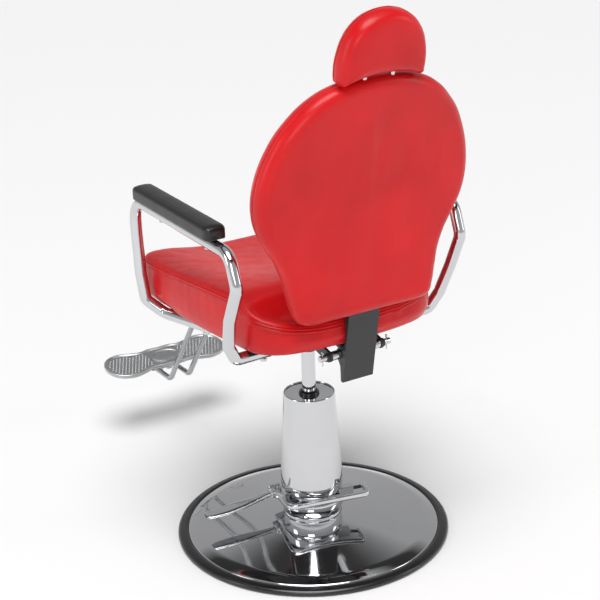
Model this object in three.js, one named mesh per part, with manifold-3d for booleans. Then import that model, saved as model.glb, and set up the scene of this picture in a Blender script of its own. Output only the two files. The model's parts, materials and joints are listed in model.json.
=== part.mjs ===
// Reclining hydraulic barber chair. Millimetres, +Z up, origin on the floor under the pump axis.
// The sitter faces -Y and the sitter's left is +X.
import * as THREE from 'three';
import { mergeVertices } from 'three/addons/utils/BufferGeometryUtils.js';
import Module from 'manifold-3d';

const wasm = await Module();
wasm.setup();

const GAP = 0.3;                 // air left between separate pieces that sit against each other
const DEG = Math.PI / 180;

// ---------------------------------------------------------------- driving dimensions
const BASE_R = 300;              // outside of the rubber trim ring
const BASE_DISC_R = 277;         // outside of the chromed floor disc
const PUMP_R = 72;               // bowl of the hydraulic pump
const COVER_R = 69;              // widest part of the pump cover
const COVER_TOP_R = 56;
const COVER_BOTTOM = 97;
const COVER_TOP = 331;
const RAM_R = 15;
const RAM_TOP = 470;
const HUB_BOTTOM = 430;
const HUB_R = 24;
const PEDAL_TURN = -12.6 * DEG;  // the pump stands turned by this much under the seat
const SEAT_BOTTOM = 516;
const PLATE_TOP = 516.5;         // steel plate under the seat board
const PLATE_BOTTOM = 510.5;
const ARM_RUN_Z = 503;           // height of the arm tubes under the seat
const ARM_X = 267;               // plane of each arm tube
const ARM_R = 12.7;
const AXLE_Y = 182.6;            // recline hinge
const AXLE_Z = 490.5;
const AXLE_R = 6.5;
const AXLE_HALF = 86;
const BACK_TILT = 7 * DEG;       // lean of the backrest's chord
const BACK_Y = 216.6;            // lower end of the backrest's middle plane
const BACK_Z = 588;
const BACK_HEIGHT = 497;
const BACK_BOW = 30;             // how far the middle of the backrest stands forward of its chord
const BACK_REAR = 28;            // padding behind the middle plane
const BACK_FRONT = 38;           // padding in front of it
const BRACKET_HALF = 37;         // half width of the flat steel bracket behind the seat
const BRACKET_TILT = 10.6 * DEG;
const BRACKET_Y = 192;           // lower end of the bracket's rear face
const BRACKET_Z = 430;
const BRACKET_LENGTH = 230;
const HEAD_TILT = 12 * DEG;      // lean of the headrest and of the rods it slides on
const HEAD_Y = 278.3;
const HEAD_Z = 1070;
const HEAD_ROD_X = 31.4;
const HEAD_ROD_R = 6;
const FOOT_BAR_X = 26;
const FOOT_BAR_R = 6.35;
const FOOT_SHAFT_Y = -697.3;
const FOOT_SHAFT_Z = 144;

// ---------------------------------------------------------------- materials
const SLOTS = {
  chrome: { color: 0xd9dcde, roughness: 0.08, metalness: 1 },
  steel: { color: 0x9a9ea2, roughness: 0.35, metalness: 1 },
  black_steel: { color: 0x2b2c2e, roughness: 0.5, metalness: 0.3 },
  rubber: { color: 0x141414, roughness: 0.6, metalness: 0 },
  arm_pad: { color: 0x121213, roughness: 0.4, metalness: 0 },
  grip: { color: 0x161616, roughness: 0.45, metalness: 0 },
  aluminium: { color: 0xa7a9ab, roughness: 0.45, metalness: 1 },
  red_leather: { color: 0xc8161d, roughness: 0.38, metalness: 0 },
  plywood: { color: 0x8a6a45, roughness: 0.8, metalness: 0 },
};

const chair = new THREE.Group();
chair.name = 'barber_chair';

// ---------------------------------------------------------------- geometry helpers
function closed(geometry) {
  const bare = new THREE.BufferGeometry();
  bare.setAttribute('position', geometry.getAttribute('position').clone());
  if (geometry.index) {
    bare.setIndex(geometry.index.clone());
  }
  return mergeVertices(bare, 1e-3);
}

function toSolid(geometry) {
  const merged = closed(geometry);
  const mesh = new wasm.Mesh({
    numProp: 3,
    vertProperties: new Float32Array(merged.getAttribute('position').array),
    triVerts: new Uint32Array(merged.index.array),
  });
  mesh.merge();
  return new wasm.Manifold(mesh);
}

function toGeometry(solid) {
  const mesh = solid.getMesh();
  const geometry = new THREE.BufferGeometry();
  geometry.setAttribute('position', new THREE.BufferAttribute(new Float32Array(mesh.vertProperties), 3));
  geometry.setIndex(new THREE.BufferAttribute(new Uint32Array(mesh.triVerts), 1));
  return geometry;
}

function join(...geometries) {
  let solid = toSolid(geometries[0]);
  for (const other of geometries.slice(1)) {
    solid = solid.add(toSolid(other));
  }
  return toGeometry(solid);
}

function cut(geometry, ...tools) {
  let solid = toSolid(geometry);
  for (const tool of tools) {
    solid = solid.subtract(toSolid(tool));
  }
  return toGeometry(solid);
}

// Joins rings of equal length into one closed skin; the first and last ring are capped.
function loft(rings) {
  const count = rings[0].length;
  const positions = [];
  const faces = [];
  for (const ring of rings) {
    for (const point of ring) {
      positions.push(point[0], point[1], point[2]);
    }
  }
  for (let r = 0; r + 1 < rings.length; r += 1) {
    for (let i = 0; i < count; i += 1) {
      const a = r * count + i;
      const b = r * count + ((i + 1) % count);
      faces.push(a, b, a + count, b, b + count, a + count);
    }
  }
  const cap = (ring, start, flip) => {
    const middle = [0, 1, 2].map((k) => ring.reduce((sum, p) => sum + p[k], 0) / count);
    const centre = positions.length / 3;
    positions.push(...middle);
    for (let i = 0; i < count; i += 1) {
      const a = start + i;
      const b = start + ((i + 1) % count);
      if (flip) {
        faces.push(centre, b, a);
      } else {
        faces.push(centre, a, b);
      }
    }
  };
  cap(rings[0], 0, true);
  cap(rings[rings.length - 1], (rings.length - 1) * count, false);
  return facingOut(positions, faces);
}

function facingOut(positions, faces) {
  let volume = 0;
  const at = (i) => new THREE.Vector3().fromArray(positions, 3 * i);
  for (let i = 0; i < faces.length; i += 3) {
    volume += at(faces[i]).dot(at(faces[i + 1]).cross(at(faces[i + 2]))) / 6;
  }
  if (volume < 0) {
    for (let i = 0; i < faces.length; i += 3) {
      [faces[i], faces[i + 1]] = [faces[i + 1], faces[i]];
    }
  }
  const geometry = new THREE.BufferGeometry();
  geometry.setAttribute('position', new THREE.Float32BufferAttribute(positions, 3));
  geometry.setIndex(faces);
  return geometry;
}

// Revolves [radius, z] points about the Z axis.
function lathe(profile, segments = 20) {
  const points = profile.map(([r, z]) => new THREE.Vector2(r, z));
  const onAxis = profile[0][0] === 0 && profile[profile.length - 1][0] === 0;
  if (!onAxis) {
    points.push(points[0].clone());
  }
  const turned = new THREE.LatheGeometry(points, segments);
  turned.rotateX(Math.PI / 2);
  const merged = closed(turned);
  const kept = [];
  const index = merged.index.array;
  for (let i = 0; i < index.length; i += 3) {
    const [a, b, c] = [index[i], index[i + 1], index[i + 2]];
    if (a !== b && b !== c && a !== c) {
      kept.push(a, b, c);
    }
  }
  return facingOut(Array.from(merged.getAttribute('position').array), kept);
}

function box(x0, x1, y0, y1, z0, z1) {
  const geometry = new THREE.BoxGeometry(x1 - x0, y1 - y0, z1 - z0);
  geometry.translate((x0 + x1) / 2, (y0 + y1) / 2, (z0 + z1) / 2);
  return closed(geometry);
}

function rod(from, to, radius, segments = 12) {
  const a = new THREE.Vector3(...from);
  const b = new THREE.Vector3(...to);
  const geometry = new THREE.CylinderGeometry(radius, radius, a.distanceTo(b), segments);
  const along = b.clone().sub(a).normalize();
  geometry.applyQuaternion(new THREE.Quaternion().setFromUnitVectors(new THREE.Vector3(0, 1, 0), along));
  const middle = a.add(b).multiplyScalar(0.5);
  geometry.translate(middle.x, middle.y, middle.z);
  return closed(geometry);
}

function tube(from, to, outer, inner, segments = 16) {
  const a = new THREE.Vector3(...from);
  const b = new THREE.Vector3(...to);
  const past = b.clone().sub(a).normalize();
  const start = a.clone().sub(past).toArray();
  const end = b.clone().add(past).toArray();
  return cut(rod(from, to, outer, segments), rod(start, end, inner, segments));
}

// Extrudes a polygon drawn in the YZ plane from x0 to x1.
function sidePlate(points, x0, x1) {
  const shape = new THREE.Shape(points.map(([y, z]) => new THREE.Vector2(y, z)));
  const geometry = new THREE.ExtrudeGeometry(shape, { depth: x1 - x0, bevelEnabled: false });
  geometry.applyMatrix4(new THREE.Matrix4().set(0, 0, 1, x0, 1, 0, 0, 0, 0, 1, 0, 0, 0, 0, 0, 1));
  return closed(geometry);
}

// Rounds the corners of a polyline; every inner point carries its bend radius.
function bendPath(points, perStep = 18 * DEG) {
  const path = [new THREE.Vector3(...points[0])];
  for (let i = 1; i + 1 < points.length; i += 1) {
    const corner = new THREE.Vector3(points[i][0], points[i][1], points[i][2]);
    const before = new THREE.Vector3(...points[i - 1].slice(0, 3)).sub(corner).normalize();
    const after = new THREE.Vector3(...points[i + 1].slice(0, 3)).sub(corner).normalize();
    const half = before.angleTo(after) / 2;
    const reach = points[i][3] / Math.tan(half);
    const centre = corner.clone().add(
      before.clone().add(after).normalize().multiplyScalar(points[i][3] / Math.sin(half)));
    const start = corner.clone().add(before.clone().multiplyScalar(reach)).sub(centre);
    const end = corner.clone().add(after.clone().multiplyScalar(reach)).sub(centre);
    const turn = start.angleTo(end);
    const axis = start.clone().cross(end).normalize();
    const steps = Math.max(1, Math.ceil(turn / perStep));
    for (let s = 0; s <= steps; s += 1) {
      path.push(start.clone().applyAxisAngle(axis, (turn * s) / steps).add(centre));
    }
  }
  path.push(new THREE.Vector3(...points[points.length - 1].slice(0, 3)));
  return path;
}

// Sweeps a closed section of [side, up] pairs along a path without twisting it.
function sweep(path, section) {
  const rings = [];
  let side = null;
  for (let i = 0; i < path.length; i += 1) {
    const before = path[Math.max(0, i - 1)];
    const after = path[Math.min(path.length - 1, i + 1)];
    const along = after.clone().sub(before).normalize();
    if (side === null) {
      const helper = Math.abs(along.z) > 0.9 ? new THREE.Vector3(1, 0, 0) : new THREE.Vector3(0, 0, 1);
      side = along.clone().cross(helper).normalize();
    }
    side.sub(along.clone().multiplyScalar(side.dot(along))).normalize();
    const up = side.clone().cross(along);
    rings.push(section.map(([s, u]) =>
      path[i].clone().add(side.clone().multiplyScalar(s)).add(up.clone().multiplyScalar(u)).toArray()));
  }
  return loft(rings);
}

function circle(radius, sides) {
  const points = [];
  for (let i = 0; i < sides; i += 1) {
    const angle = (2 * Math.PI * i) / sides;
    points.push([radius * Math.cos(angle), radius * Math.sin(angle)]);
  }
  return points;
}

// Mirrors a list of [half width, height] pairs into a smooth closed outline.
function smoothOutline(half, count, tension = 0.5) {
  const left = half.slice().reverse().filter(([x]) => x > 0).map(([x, y]) => [-x, y]);
  const points = half.concat(left).map(([x, y]) => new THREE.Vector3(x, y, 0));
  const curve = new THREE.CatmullRomCurve3(points, true, 'centripetal', tension);
  return curve.getSpacedPoints(count).slice(0, count).map((p) => [p.x, p.y]);
}

function inset(outline, amount) {
  const count = outline.length;
  return outline.map((point, i) => {
    const before = outline[(i + count - 1) % count];
    const after = outline[(i + 1) % count];
    const tx = after[0] - before[0];
    const ty = after[1] - before[1];
    const length = Math.hypot(tx, ty);
    return [point[0] - (amount * ty) / length, point[1] + (amount * tx) / length];
  });
}

function towards(outline, centre, scale) {
  return outline.map(([x, y]) => [centre[0] + (x - centre[0]) * scale, centre[1] + (y - centre[1]) * scale]);
}

function smoothstep(low, high, value) {
  const t = Math.min(1, Math.max(0, (value - low) / (high - low)));
  return t * t * (3 - 2 * t);
}

function moved(geometry, matrix) {
  const placed = closed(geometry);
  placed.applyMatrix4(matrix);
  return facingOut(Array.from(placed.getAttribute('position').array), Array.from(placed.index.array));
}

// Carries a solid drawn with x across, y forward and z up its own plane to a plane that leans back.
function leaning(geometry, tilt, y, z) {
  const s = Math.sin(tilt);
  const c = Math.cos(tilt);
  return moved(geometry, new THREE.Matrix4().set(1, 0, 0, 0, 0, -c, s, y, 0, s, c, z, 0, 0, 0, 1));
}

function bowAt(v) {
  const t = v / BACK_HEIGHT;
  return 4 * BACK_BOW * t * (1 - t);
}

// Joins backrest rings drawn as [across, forward, up], bowed forward and leaned back.
function onBack(rings) {
  const bowed = rings.map((ring) => ring.map(([u, w, v]) => [u, w + bowAt(v), v]));
  return leaning(loft(bowed), BACK_TILT, BACK_Y, BACK_Z);
}

function place(name, slot, geometry) {
  const settings = SLOTS[slot];
  const material = new THREE.MeshStandardMaterial(settings);
  material.name = slot;
  const finished = closed(geometry);
  finished.computeVertexNormals();
  const mesh = new THREE.Mesh(finished, material);
  mesh.name = name;
  chair.add(mesh);
}

function mirrored(geometry) {
  const positions = Array.from(geometry.getAttribute('position').array);
  for (let i = 0; i < positions.length; i += 3) {
    positions[i] = -positions[i];
  }
  return facingOut(positions, Array.from(geometry.index.array));
}

function placePair(name, slot, geometry) {
  place(`${name}_left`, slot, geometry);
  place(`${name}_right`, slot, mirrored(geometry));
}

// ---------------------------------------------------------------- floor base
function buildBase() {
  place('base_trim_ring', 'rubber', lathe([
    [BASE_DISC_R + GAP, 0], [297, 0], [BASE_R, 3], [BASE_R, 8], [296, 12.5], [283, 14.5],
    [BASE_DISC_R + GAP, 13],
  ], 36));
  place('base_disc', 'chrome', lathe([
    [BASE_DISC_R, 1], [BASE_DISC_R, 12.5], [275, 14.5], [253, 21], [150, 33], [64, 45],
    [64, 42], [252, 18], [273, 11.5], [273, 1],
  ], 36));
  place('base_ring_nut', 'steel', lathe([
    [63.5 + GAP, 28], [84, 28], [84, 38.4], [63.5 + GAP, 41.2],
  ], 28));
}

// ---------------------------------------------------------------- pump and its cover
function buildPump() {
  place('pump_body', 'chrome', lathe([
    [0, 0], [36, 0], [36, 28], [63.5, 28], [63.5, 45.4], [62, 50], [66, 58], [70.5, 70], [PUMP_R, 80], [70, 88],
    [52, 90], [52, 104], [36, 104], [36, 312], [25, 312], [25, 46], [0, 46],
  ], 28));
  place('pump_gland', 'steel', lathe([
    [RAM_R + GAP, 312 + GAP], [40, 312 + GAP], [40, 324.7], [RAM_R + GAP, 324.7],
  ]));
  place('pump_cover', 'chrome', lathe([
    [52 + GAP, COVER_BOTTOM], [60, COVER_BOTTOM], [65.5, 102], [COVER_R, 118],
    [COVER_TOP_R, COVER_TOP - 1.5], [COVER_TOP_R - 1, COVER_TOP], [53.6, COVER_TOP],
    [53.6, 320], [66.4, 119], [63, 104], [59, 99.6], [52 + GAP, 99.6],
  ], 28));
  place('pump_cover_cap', 'chrome', lathe([
    [22 + GAP, 325], [53.2, 325], [53.2, 328.5], [22 + GAP, 327.6],
  ], 28));
  place('ram_seal', 'rubber', lathe([
    [RAM_R + GAP, 325], [22, 325], [22, 331], [20, 334], [RAM_R + GAP, 335],
  ]));
}

// ---------------------------------------------------------------- foot lever of the pump
// Drawn square to the pump, then turned with it.
function turned(geometry) {
  return closed(geometry).rotateZ(PEDAL_TURN);
}

const LEVER_X = 82;
const LEVER_Z = 90;

function paddle() {
  const stations = [
    [84, 8, 5, 90], [100, 8, 5, 87], [125, 11, 4.5, 82], [155, 16, 4, 76], [190, 18, 3.5, 70],
    [220, 16, 3.5, 66], [236, 13, 3.5, 65], [240, 10, 2.5, 65],
  ];
  const rings = stations.map(([x, half, thick, z]) => {
    const y = -21;
    return [
      [x, y - half, z - thick * 0.5], [x, y - half * 0.8, z - thick], [x, y, z - thick],
      [x, y + half * 0.8, z - thick], [x, y + half, z - thick * 0.5], [x, y + half, z + thick * 0.5],
      [x, y + half * 0.8, z + thick], [x, y, z + thick], [x, y - half * 0.8, z + thick],
      [x, y - half, z + thick * 0.5],
    ];
  });
  return loft(rings);
}

function buildLever() {
  const hub = rod([LEVER_X, -34, LEVER_Z], [LEVER_X, -8, LEVER_Z], 8.5, 16);
  const bore = rod([LEVER_X, -40, LEVER_Z], [LEVER_X, -10, LEVER_Z], 4 + GAP, 12);
  const loopPath = bendPath([
    [LEVER_X - 3, -9.6, 92], [LEVER_X - 3, 79, 99, 18], [-104, 80, 101, 12], [-104, 36, 101],
  ]);
  const loop = sweep(loopPath, [
    [-4.5, -4], [-4.5, 4], [-3, 5.5], [3, 5.5], [4.5, 4], [4.5, -4], [3, -5.5], [-3, -5.5],
  ]);
  place('pump_lever', 'chrome', turned(cut(join(hub, paddle(), loop), bore)));
  const ear = box(40, 90, -40, -34.4, 78, 102);
  const foot = box(40, 76, -60, -34.4, 71, 84);
  const pin = rod([LEVER_X, -41, LEVER_Z], [LEVER_X, -10.4, LEVER_Z], 4, 12);
  const bowl = rod([0, 0, 40], [0, 0, 120], PUMP_R + 0.6, 48);
  place('lever_bracket', 'steel', turned(cut(join(ear, foot, pin), bowl)));
  const block = join(box(-78, -20, 34, 52, 90.5, 96.5), box(-78, -30, 34, 52, 90.5, 110));
  place('valve_block', 'chrome', turned(cut(block,
    rod([0, 0, 80], [0, 0, 120], 52.6, 48), rod([0, 0, 96.6], [0, 0, 120], COVER_R + 0.6, 48))));
  const thread = [[0, 0], [3.2, 0]];
  for (let turn = 0; turn < 3; turn += 1) {
    thread.push([4.4, 3 + 6 * turn], [3.2, 6 + 6 * turn]);
  }
  thread.push([0, 18]);
  const screw = lathe(thread, 12);
  screw.rotateY(-Math.PI / 2);
  screw.translate(-80.8, 0, 0);
  screw.translate(0, 43, 101);
  const settled = moved(screw, new THREE.Matrix4());
  place('lever_stop_screw', 'black_steel', turned(settled));
}

// ---------------------------------------------------------------- lifting ram and seat hub
function buildRam() {
  place('ram', 'chrome', lathe([
    [0, 140], [24.6, 140], [24.6, 152], [RAM_R, 152], [RAM_R, 440], [13, RAM_TOP], [0, RAM_TOP],
  ]));
  place('seat_hub', 'black_steel', lathe([
    [0, 470.4], [13.3, 470.4], [RAM_R + GAP, 440], [RAM_R + GAP, HUB_BOTTOM], [20, HUB_BOTTOM],
    [HUB_R, 434], [HUB_R, 480], [34, 498], [34, PLATE_BOTTOM - GAP], [0, PLATE_BOTTOM - GAP],
  ]));
}

// ---------------------------------------------------------------- seat
const SEAT_HALF = [
  [0, -301], [100, -300], [188, -297], [225, -289], [240, -270], [244, -236], [241, -150], [234, -20],
  [224, 75], [212, 140], [174, 179], [105, 197], [0, 202],
];
const SEAT_CENTRE = [0, -50];

// Height of the seam around the top of the seat, and of the stuffed top inside it.
function seamHeight(x, y) {
  const front = 606 + 12 * smoothstep(-252, 35, y);
  const rearDrop = 40 * smoothstep(60, 200, y);
  const middleDip = 10 * smoothstep(120, 185, y) * (1 - smoothstep(90, 190, Math.abs(x)));
  const dish = 19 * (1 - smoothstep(50, 215, Math.abs(x))) * (1 - smoothstep(-120, 110, y));
  return front - rearDrop - middleDip - dish;
}

function topHeight(x, y, share) {
  const crown = 5 * (1 - smoothstep(70, 180, y));
  const underBack = 576 + 70 * (1 - smoothstep(70, 150, y)) + 12 * smoothstep(150, 215, Math.abs(x));
  return Math.min(seamHeight(x, y) + 9 + crown * share, underBack);
}

function buildSeat() {
  const outline = smoothOutline(SEAT_HALF, 40);
  const level = (ring, z) => ring.map(([x, y]) => [x, y, z]);
  const overTube = (x, y) => smoothstep(150, 200, Math.abs(x)) * (1 - smoothstep(-190, -120, y));
  const tucked = inset(outline, 9);
  const under = tucked.map(([x, y]) => [x - Math.sign(x) * 9 * overTube(x, y), y]);
  const low = inset(outline, 3).map(([x, y]) => [x - Math.sign(x) * 6 * overTube(x, y), y]);
  const seam = (pull, lift) => inset(outline, pull).map(([x, y]) => [x, y, seamHeight(x, y) + lift]);
  const rings = [
    level(under, SEAT_BOTTOM), level(low, SEAT_BOTTOM + 7), seam(0, -44), seam(0, 0), seam(6, 7),
  ];
  const top = inset(outline, 18);
  for (const [scale, share] of [[1, 0.1], [0.8, 0.6], [0.45, 1]]) {
    rings.push(towards(top, SEAT_CENTRE, scale).map(([x, y]) => [x, y, topHeight(x, y, share)]));
  }
  const pocket = loft([
    level(inset(outline, 24), SEAT_BOTTOM - 5),
    level(inset(outline, 24), 528.3),
  ]);
  place('seat_cushion', 'red_leather', cut(loft(rings), pocket));
  const board = loft([level(inset(outline, 24.4), 517), level(inset(outline, 24.4), 528)]);
  const boltHoles = ARM_BOLTS.flatMap(([x, y]) => [
    rod([x, y, 500], [x, y, 524], 3 + GAP, 8),
    rod([-x, y, 500], [-x, y, 524], 3 + GAP, 8),
  ]);
  place('seat_board', 'plywood', cut(board, ...boltHoles));
  place('seat_plate', 'black_steel', box(-150, 150, -150, 150, PLATE_BOTTOM, PLATE_TOP));
}

// ---------------------------------------------------------------- arms
const ARM_BOLTS = [[198, -85], [172, 108]];
const PAD_SCREWS = [-120, 70];

// The top run of each arm tube climbs a little towards the front.
function armRun(y) {
  return 748 + (8 * (158 - y)) / 402;
}

function buildArms() {
  const path = bendPath([
    [196, -68, ARM_RUN_Z], [234, -204, ARM_RUN_Z, 24], [263, -229, 532, 22], [ARM_X, -237, 590, 30],
    [ARM_X, -243, 680, 80], [ARM_X, -244, armRun(-244), 45], [ARM_X, 158, armRun(158), 38],
    [ARM_X, 182, 682, 26], [ARM_X, 147, 606, 60], [258, 121, 540, 20], [237, 110, ARM_RUN_Z, 18],
    [158, 108, ARM_RUN_Z],
  ], 24 * DEG);
  const screwHole = (y) => rod([ARM_X, y, 720], [ARM_X, y, 778], 2.6, 8);
  const boltHole = ([x, y]) => rod([x, y, 480], [x, y, 520], 3 + GAP, 8);
  const armTube = sweep(path, circle(ARM_R, 10));
  placePair('arm_tube', 'chrome', cut(armTube, ...PAD_SCREWS.map(screwHole), ...ARM_BOLTS.map(boltHole)));

  const stations = [
    [-207, 0.9, 5], [-205, 0.97, 2], [-199, 1, 0.5], [-150, 1, 0], [0, 1, 0], [95, 1, 0], [106, 0.99, 1],
    [111, 0.95, 4], [113, 0.86, 9],
  ];
  const rings = stations.map(([y, scale, drop]) => {
    const half = 23.5 * scale;
    const bottom = armRun(y) + ARM_R + GAP + drop * 0.3;
    const top = armRun(y) + 42 - drop;
    return [
      [ARM_X - half, y, bottom + 5], [ARM_X - half + 5, y, bottom], [ARM_X + half - 5, y, bottom],
      [ARM_X + half, y, bottom + 5], [ARM_X + half, y, top - 9], [ARM_X + half - 3, y, top - 3],
      [ARM_X + half - 9, y, top], [ARM_X, y, top + 0.6], [ARM_X - half + 9, y, top],
      [ARM_X - half + 3, y, top - 3], [ARM_X - half, y, top - 9],
    ];
  });
  placePair('arm_pad', 'arm_pad', cut(loft(rings), ...PAD_SCREWS.map(screwHole)));

  for (const [label, y] of [['front', PAD_SCREWS[0]], ['rear', PAD_SCREWS[1]]]) {
    const under = armRun(y) - ARM_R - GAP;
    placePair(`pad_screw_${label}`, 'steel', join(
      rod([ARM_X, y, under - 3], [ARM_X, y, under], 5.5, 10),
      rod([ARM_X, y, under - 1], [ARM_X, y, 777.5], 2.2, 8)));
  }
  const under = ARM_RUN_Z - ARM_R - GAP;
  for (const [label, [x, y]] of [['front', ARM_BOLTS[0]], ['rear', ARM_BOLTS[1]]]) {
    placePair(`arm_bolt_${label}`, 'steel', join(
      rod([x, y, under - 5.5], [x, y, under], 7, 6),
      rod([x, y, under - 1], [x, y, 523.5], 2.9, 8)));
  }
}

// ---------------------------------------------------------------- recline hinge on the seat
function buildHinge() {
  const lug = [[100, PLATE_BOTTOM - GAP], [112, 496], [168, 481]];
  for (let step = 0; step <= 8; step += 1) {
    const angle = (-105 + 22.5 * step) * DEG;
    lug.push([AXLE_Y + 11 * Math.cos(angle), AXLE_Z + 11 * Math.sin(angle)]);
  }
  lug.push([150, PLATE_BOTTOM - GAP]);
  const hole = rod([40, AXLE_Y, AXLE_Z], [80, AXLE_Y, AXLE_Z], AXLE_R + GAP, 16);
  const boss = rod([64, AXLE_Y, AXLE_Z], [70, AXLE_Y, AXLE_Z], 9, 16);
  placePair('hinge_lug', 'black_steel', cut(join(sidePlate(lug, 59, 65), boss), hole));
  placePair('hinge_spacer', 'chrome', tube(
    [BRACKET_HALF + 1, AXLE_Y, AXLE_Z], [59 - GAP, AXLE_Y, AXLE_Z], 9.5, AXLE_R + GAP));
  const pinHole = (x) => rod([x, AXLE_Y, AXLE_Z - 20], [x, AXLE_Y, AXLE_Z + 20], 1.9, 10);
  place('hinge_axle', 'chrome', cut(
    rod([-AXLE_HALF, AXLE_Y, AXLE_Z], [AXLE_HALF, AXLE_Y, AXLE_Z], AXLE_R, 16), pinHole(78), pinHole(-78)));
  placePair('cotter_pin', 'steel', join(
    rod([78, AXLE_Y, AXLE_Z - 17], [78, AXLE_Y, AXLE_Z + 10], 1.5, 10),
    rod([76.4, AXLE_Y, AXLE_Z + 11], [79.6, AXLE_Y, AXLE_Z + 11], 3.4, 14)));
}

// ---------------------------------------------------------------- backrest
const BACK_HALF = [
  [0, 0], [80, 0], [132, 1], [155, 10], [165, 32], [173, 65], [182, 103], [197, 138], [214, 166],
  [229, 192], [240, 222], [244.5, 255], [242.5, 290], [235, 325], [222, 360], [202, 398], [179, 427],
  [154, 452], [118, 475], [80, 488], [40, 495], [0, BACK_HEIGHT],
];
const BACK_CENTRE = [0, 245];
const BACK_SEAM = 6;             // plane in which the rear cover meets the front cushion
const STRUT_X = -15;
const STRUT_REAR = [172, 452];
const STRUT_FRONT = [50, 494];

// A pad between the seam surface and a rounded face; depth and edge set its elliptic rim.
function padRings(outline, flat, way, depth, edge, dome) {
  const at = (ring, w) => ring.map(([u, v]) => [u, w, v]);
  const lost = (w) => edge * (1 - Math.sqrt(Math.max(0, 1 - (w / depth) ** 2)));
  const rings = [at(towards(outline, BACK_CENTRE, 0.35), flat), at(towards(outline, BACK_CENTRE, 0.7), flat)];
  for (const share of [0, 0.5, 0.85]) {
    const w = flat + (way * depth - flat) * share;
    rings.push(at(inset(outline, lost(w)), w));
  }
  const last = inset(outline, edge * 0.8);
  for (const [scale, share] of [[0.98, 0], [0.7, 0.6], [0.35, 1]]) {
    rings.push(at(towards(last, BACK_CENTRE, scale), way * (depth + dome * share)));
  }
  return rings;
}

function headRodLine(x, from, to, radius, sides) {
  return leaning(rod([x, 0, from], [x, 0, to], radius, sides), HEAD_TILT, HEAD_Y, HEAD_Z);
}

function buildBack() {
  const outline = smoothOutline(BACK_HALF, 36);
  const channels = [-HEAD_ROD_X, HEAD_ROD_X].map((x) => headRodLine(x, -196, 60, 9.3, 16));
  const slot = leaning(box(-BRACKET_HALF - 0.6, BRACKET_HALF + 0.6, -0.5, 60, 130, 235),
    BRACKET_TILT, BRACKET_Y, BRACKET_Z);
  const rear = onBack(padRings(outline, BACK_SEAM - GAP, -1, BACK_REAR, 28, 4));
  place('back_cover', 'red_leather', cut(rear, slot, ...channels));

  const layer = (pull, low, high) => onBack([[0.35, low], [0.7, low], [1, low], [1, high], [0.7, high],
    [0.35, high]].map(([scale, w]) =>
    towards(inset(outline, pull), BACK_CENTRE, scale).map(([u, v]) => [u, w, v])));
  const notch = (half, low) => leaning(box(-half, half, -50, 90, low, 600), BACK_TILT, BACK_Y, BACK_Z);
  place('back_board', 'plywood', cut(layer(16, BACK_SEAM + 1, 18), notch(46, 284)));

  const pocket = cut(layer(15.5, BACK_SEAM - 5, 18.4), notch(45.5, 284.5));
  const front = onBack(padRings(outline, BACK_SEAM, 1, BACK_FRONT, 28, 7));
  place('back_cushion', 'red_leather', cut(front, pocket, ...channels));
  placePair('headrest_socket', 'steel', leaning(
    tube([HEAD_ROD_X, 0, -190], [HEAD_ROD_X, 0, 4], 9, HEAD_ROD_R + GAP), HEAD_TILT, HEAD_Y, HEAD_Z));
}

function buildBracket() {
  const strap = leaning(box(-BRACKET_HALF, BRACKET_HALF, 0, 4, 0, BRACKET_LENGTH),
    BRACKET_TILT, BRACKET_Y, BRACKET_Z);
  const top = [
    BRACKET_Y + BRACKET_LENGTH * Math.sin(BRACKET_TILT),
    BRACKET_Z + BRACKET_LENGTH * Math.cos(BRACKET_TILT),
  ];
  const flangeEdge = [
    [BRACKET_Y, BRACKET_Z], [185, 431.4], [184, 464], [173, 481], [170.6, 490.5], [173.5, 499.5],
    [182.6, 503], [196, 509], [203.8, 520], [206, 584], [213, 590], [209, 656.4], top,
  ];
  const flange = (x0, x1) => sidePlate(flangeEdge, x0, x1);
  const inner = BRACKET_HALF - 4;
  const [yPin, zPin] = STRUT_REAR;
  const lug = (x0, x1) => sidePlate([
    [yPin - 8.5, zPin], [yPin - 4, zPin - 8], [191, 437], [196, 460], [yPin + 2, zPin + 9],
    [yPin - 5, zPin + 7],
  ], x0, x1);
  const axleHole = rod([-60, AXLE_Y, AXLE_Z], [60, AXLE_Y, AXLE_Z], AXLE_R + GAP, 16);
  const strutPin = rod([STRUT_X - 12, yPin, zPin], [STRUT_X + 12, yPin, zPin], 4, 12);
  const welded = join(strap, flange(-BRACKET_HALF, -inner), flange(inner, BRACKET_HALF),
    lug(STRUT_X - 10, STRUT_X - 5.5), lug(STRUT_X + 5.5, STRUT_X + 10), strutPin);
  place('back_bracket', 'black_steel', cut(welded, axleHole));
}

// ---------------------------------------------------------------- headrest
const HEAD_HALF = [
  [0, 18], [40, 15.5], [72, 8], [87, 4], [94, 10], [96.5, 30], [96, 48], [92, 70], [85.5, 90],
  [75, 108], [61, 123], [42, 135], [20, 141.5], [0, 143.5],
];
const HEAD_CENTRE = [0, 72];

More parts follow.
